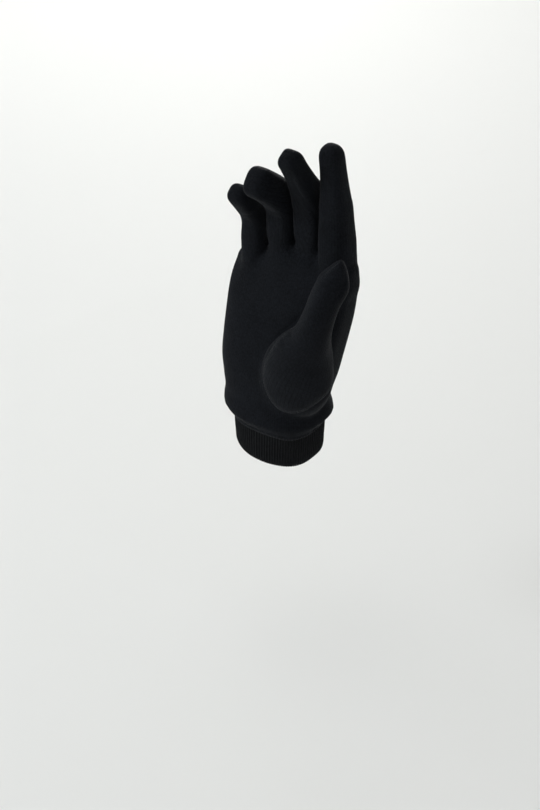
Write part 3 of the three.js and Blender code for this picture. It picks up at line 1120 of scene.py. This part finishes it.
def make_cuff_seam():
    """The cuff seam's band, and its path and directions for the stitches."""
    count = CUFF_SEAM_POINTS
    angle = np.arange(count) / count * 2 * math.pi
    ring, section, across, through = cuff_ring(angle, CUFF_TOP)
    outward = unit(np.stack((across / section["half"], through / section["palm"], 0 * angle), axis=1))
    ring[:, 2] = CUFF_SEAM_LEVEL + wrist_lift(ring, "seam")
    rows = [
        ring + outward * (height + CUFF_SEAM_STAND_OFF) + np.array((0, 0, offset))
        for offset, height in zip(*seam_profile(**CUFF_SEAM))
    ]
    along, _ = loop_frame(ring, outward)
    return band_mesh(rows[::-1], SEAM_POINT_GAP), ring + outward * CUFF_STITCH_STAND_OFF, along, outward


def make_stitch_row():
    """One arched stitch on each point of a row, standing out from the knit and lying across the seam."""
    inputs = dict(Places="Geometry", Width="Float", Rise="Float", Thickness="Float", Thread="Material")
    tree, given, result = start_tree("Geometry", "stitch_row", inputs, dict(Stitches="Geometry"))
    half = math_node(tree, "MULTIPLY", given["Width"], 0.5)
    start = node(tree, "ShaderNodeCombineXYZ", dict(X=math_node(tree, "MULTIPLY", half, -1.0)))
    top = node(tree, "ShaderNodeCombineXYZ", dict(Z=math_node(tree, "MULTIPLY", given["Rise"], 2.0)))
    end = node(tree, "ShaderNodeCombineXYZ", dict(X=half))
    corners = dict(Start=start.outputs[0], Middle=top.outputs[0], End=end.outputs[0])
    arch = node(tree, "GeometryNodeCurveQuadraticBezier", dict(corners, Resolution=STITCH_STEPS))
    radius = math_node(tree, "MULTIPLY", given["Thickness"], 0.5)
    strand = node(tree, "GeometryNodeCurvePrimitiveCircle", dict(Resolution=STITCH_SIDES, Radius=radius))
    curves = {"Curve": arch.outputs[0], "Profile Curve": strand.outputs["Curve"], "Fill Caps": True}
    stitch = node(tree, "GeometryNodeCurveToMesh", curves).outputs[0]
    out = named_attribute(tree, "out", "FLOAT_VECTOR")
    along = named_attribute(tree, "along", "FLOAT_VECTOR")
    stand = node(tree, "FunctionNodeAlignRotationToVector", dict(Vector=out), axis="Z").outputs[0]
    turned = dict(Rotation=stand, Vector=along)
    lie = node(tree, "FunctionNodeAlignRotationToVector", turned, axis="Y", pivot_axis="Z").outputs[0]
    repeats = dict(Points=given["Places"], Instance=stitch, Rotation=lie)
    placed = node(tree, "GeometryNodeInstanceOnPoints", repeats)
    end_tree(tree, placed.outputs[0], given["Thread"], result)
    return tree


def sew(name, path, along, out, slot, every, width, rise):
    """A row of stitches along a path, one on every so many of its points."""
    stitches = mesh_piece(name, path[::every], np.empty((0, 4), dtype=int))
    add_attribute(stitches, "along", "FLOAT_VECTOR", along[::every])
    add_attribute(stitches, "out", "FLOAT_VECTOR", out[::every])
    sizes = dict(Width=width * MM, Rise=rise * MM, Thickness=STITCH_THICKNESS * MM)
    run_nodes(stitches, stitch_row, Thread=thread, **sizes)
    stitches.data.shade_smooth()
    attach(stitches, "root")


def lay_seam(name, slot, stitches, band, path, along, out):
    """Puts a seam's ridge on the knit, and its stitches across it."""
    ridge = mesh_piece(name, *band)
    # The ridge's knit carries a painted highlight: it is coloured lighter than the knit round it
    ridge.data.materials.append(seam_knit_painted_highlight)
    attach(ridge, "root")
    sew(name + "_stitches", path, along, out, slot, **stitches)


stitch_row = make_stitch_row()
# Spun black thread, a shade smoother than the knit it holds
thread, _ = yarn_material(
    "thread",
    dark=(0.008, 0.009, 0.011),
    light=(0.022, 0.024, 0.028),
    Roughness=0.7,
    Specular_IOR_Level=0.12,
    Sheen_Weight=0.06,
)
lay_seam("thumb_seam", "fine_knit", THUMB_STITCHES, *make_thumb_seam())
lay_seam("cuff_seam", "rib_knit", CUFF_STITCHES, *make_cuff_seam())


# The studio
# A wide pale floor, well below the wrist. A large soft key light stands on the palm's side to the left,
# with weaker ones overhead, low behind the hand, and over the floor beyond it. The walls are white.
FLOOR_LEVEL = -138.0
FLOOR_HALF = 30000.0
FLOOR_CORNERS = ((-1, -1), (1, -1), (1, 1), (-1, 1))
FLOOR_COLOR = (0.785, 0.79, 0.77, 1)
FLOOR_ROUGHNESS = 0.9
WALL_STRENGTH = 0.45
HAND_MIDDLE = (0.0, 0.0, 0.09)
BEYOND_THE_HAND = (-1.05, 0.8, -0.14)

floor_points = np.array([(x * FLOOR_HALF, y * FLOOR_HALF, FLOOR_LEVEL) for x, y in FLOOR_CORNERS])
floor = mesh_piece("floor", floor_points, np.array([(0, 1, 2, 3)]))
floor_paint = bpy.data.materials.new("floor_paint")
floor_paint.use_nodes = True
floor_shader = floor_paint.node_tree.nodes["Principled BSDF"]
floor_shader.inputs["Base Color"].default_value = FLOOR_COLOR
floor_shader.inputs["Roughness"].default_value = FLOOR_ROUGHNESS
floor.data.materials.append(floor_paint)


def add_light(name, place, aim, size, power, tint, spread=180):
    """A round soft light at a place in metres, turned to what it is aimed at."""
    light = bpy.data.lights.new(name, "AREA")
    light.spread = math.radians(spread)
    light.color = tint
    light.shape = "DISK"
    light.size = size
    light.energy = power
    lamp = bpy.data.objects.new(name, light)
    lamp.location = place
    lamp.rotation_euler = (Vector(aim) - Vector(place)).to_track_quat("-Z", "Y").to_euler()
    bpy.context.scene.collection.objects.link(lamp)


add_light("key", (-1.3, -1.4, 1.1), HAND_MIDDLE, 1.0, 20.0, (0.92, 0.965, 1.0))
add_light("top", (-0.5, 0.0, 2.2), HAND_MIDDLE, 1.6, 7.0, (1.0, 1.0, 0.98))
add_light("rear", (-0.8, 1.7, 0.35), HAND_MIDDLE, 1.0, 3.5, (1.0, 1.0, 0.99), spread=45)
add_light("backdrop", (-1.35, 1.2, 1.0), BEYOND_THE_HAND, 1.0, 3.0, (1.0, 1.0, 0.99), spread=80)

walls = bpy.data.worlds.new("studio")
walls.use_nodes = True
walls.node_tree.nodes["Background"].inputs["Color"].default_value = (1, 1, 1, 1)
walls.node_tree.nodes["Background"].inputs["Strength"].default_value = WALL_STRENGTH
bpy.context.scene.world = walls
bpy.context.scene.view_settings.view_transform = "Standard"


# The camera
# It looks along the photograph's line of sight, from the palm's side, round towards the thumb and from
# above. It keeps level with the picture, and is moved aside and up so that the glove falls in its place.
AZIMUTH = math.radians(38.0)
PITCH = math.radians(33.2)
DISTANCE = 1138.0
FOCAL_PIXELS = 1800.0
IMAGE_WIDTH, IMAGE_HEIGHT = 540, 810
ORIGIN_PIXEL = (280.8, 443.0)  # where the middle of the wrist opening falls in the picture
SENSOR_HEIGHT = 36.0
FARTHEST_SEEN = 50.0

right = Vector((math.cos(AZIMUTH), math.sin(AZIMUTH), 0))
forward = Vector(
    (-math.sin(AZIMUTH) * math.cos(PITCH), math.cos(AZIMUTH) * math.cos(PITCH), -math.sin(PITCH))
)
up = right.cross(forward)
aside = (ORIGIN_PIXEL[0] - IMAGE_WIDTH / 2) / FOCAL_PIXELS * DISTANCE
above = (IMAGE_HEIGHT / 2 - ORIGIN_PIXEL[1]) / FOCAL_PIXELS * DISTANCE
camera_data = bpy.data.cameras.new("camera")
camera_data.sensor_fit = "VERTICAL"
camera_data.sensor_height = SENSOR_HEIGHT
camera_data.lens = FOCAL_PIXELS / IMAGE_HEIGHT * SENSOR_HEIGHT
camera_data.clip_end = FARTHEST_SEEN
camera = bpy.data.objects.new("camera", camera_data)
facing = Matrix((right, up, -forward)).transposed().to_4x4()
eye = (right * aside + up * above + forward * DISTANCE) * -MM
camera.matrix_world = Matrix.Translation(eye) @ facing
bpy.context.scene.collection.objects.link(camera)
bpy.context.scene.camera = camera
